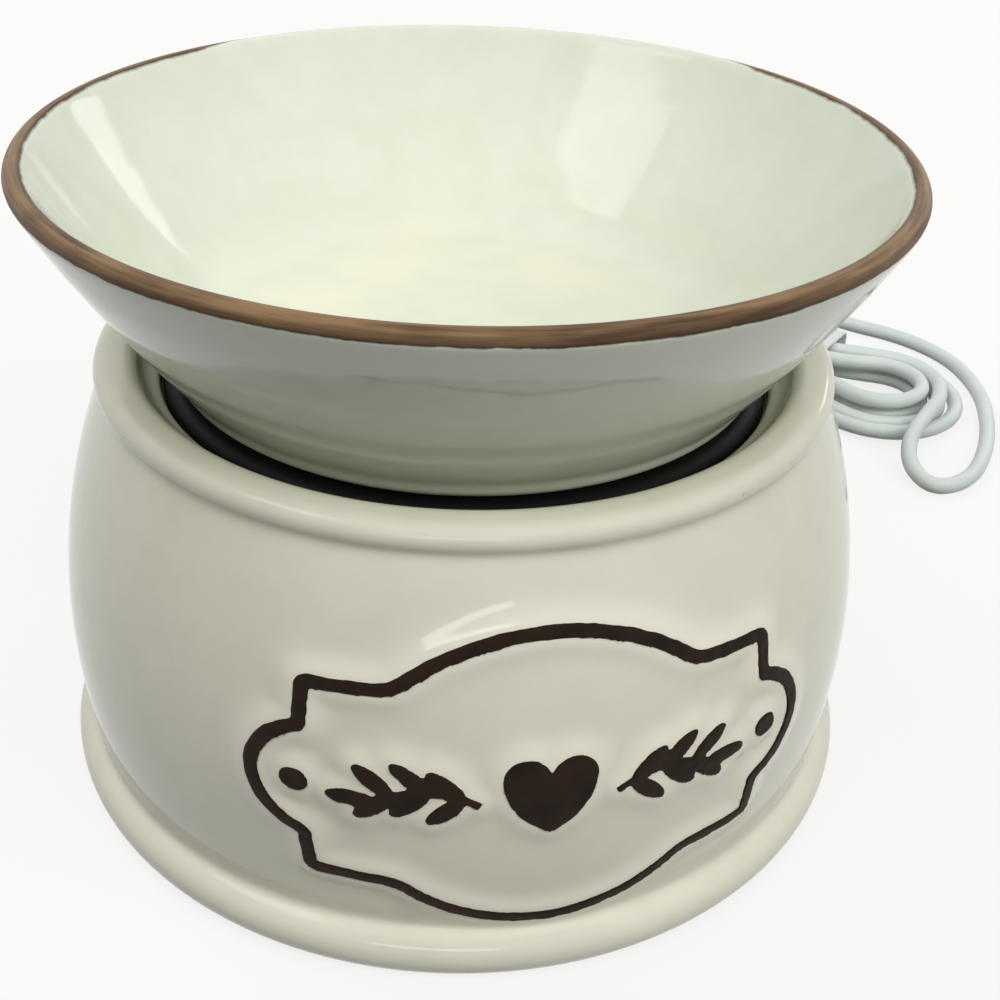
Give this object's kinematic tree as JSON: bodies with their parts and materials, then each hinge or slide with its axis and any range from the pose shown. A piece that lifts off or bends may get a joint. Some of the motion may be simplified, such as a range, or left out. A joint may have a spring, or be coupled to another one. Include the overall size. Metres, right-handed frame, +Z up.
{
  "type": "wax melt warmer",
  "caption": "Electric wax melt warmer: a bulging glazed ceramic barrel with a raised plaque, a round hot plate in its rolled collar, a lift-off bowl on top and a tied mains lead with switch.",
  "frame": {"origin": "on the table plane under the axis of the ceramic barrel", "axes": "+Z up along the barrel axis; the plaque faces -Y; the mains lead leaves at +Y; +X to the right of the plaque"},
  "size_m": [0.2517, 0.2861, 0.1174],
  "materials": {
    "cream_glaze": "glossy opaque cream glaze on stoneware",
    "brown_glaze": "dark brown oxide stain under glaze",
    "dish_glaze": "glossy opaque cream glaze with a brushed brown rim",
    "black_enamel": "satin black heat-proof enamel",
    "gasket": "woven heat-proof fibre",
    "mica": "mica sheet",
    "fibre": "white ceramic fibre",
    "steel": "zinc-plated steel",
    "brass": "brass",
    "bead": "unglazed white steatite",
    "base_paint": "satin off-white paint",
    "rubber": "matt black rubber",
    "cord_pvc": "soft white cord covering, satin",
    "white_plastic": "white moulded plastic",
    "core_wire": "heat-proof wire sleeve",
    "clamp_plastic": "grey-white moulded plastic"
  },
  "bodies": {
    "warmer": {"base_nut": "steel", "base_plate": "base_paint", "base_washer": "steel", "ceramic_body": "cream_glaze", "clamp_block": "clamp_plastic", "clamp_bridge": "clamp_plastic", "clamp_screws": "steel", "cord_cores": "core_wire", "cord_hank": "cord_pvc", "cord_inner": "cord_pvc", "cord_lead": "cord_pvc", "cord_mid": "cord_pvc", "cord_tail": "cord_pvc", "cover_nut": "steel", "cover_washer": "steel", "crimp_caps": "white_plastic", "fuse_clip": "steel", "hank_tie": "white_plastic", "heater_cover": "steel", "heater_insulation": "fibre", "heater_leads": "core_wire", "heating_element": "mica", "hot_plate": "black_enamel", "plaque_moulding": "brown_glaze", "plate_gasket": "gasket", "plug_blades": "brass", "plug_body": "white_plastic", "rocker_pin": "steel", "rubber_feet": "rubber", "strain_relief": "white_plastic", "switch_base": "white_plastic", "switch_contacts": "brass", "switch_cover": "white_plastic", "switch_screws": "steel", "terminal_beads": "bead", "terminal_posts": "brass", "thermal_fuse": "steel", "tie_rod": "steel"},
    "dish": {"wax_dish": "dish_glaze"},
    "rocker": {"switch_rocker": "white_plastic"}
  },
  "joints": [
    {"name": "dish_lift", "type": "slide", "parent": "warmer", "child": "dish", "axis": [0, 0, 1], "range_m": [0, 0.05]},
    {"name": "switch_rock", "type": "hinge", "parent": "warmer", "child": "rocker", "pos_m": [-0.022, 0.157, 0.0104], "axis": [-1, 0, 0], "range_deg": [0, 20]}
  ]
}
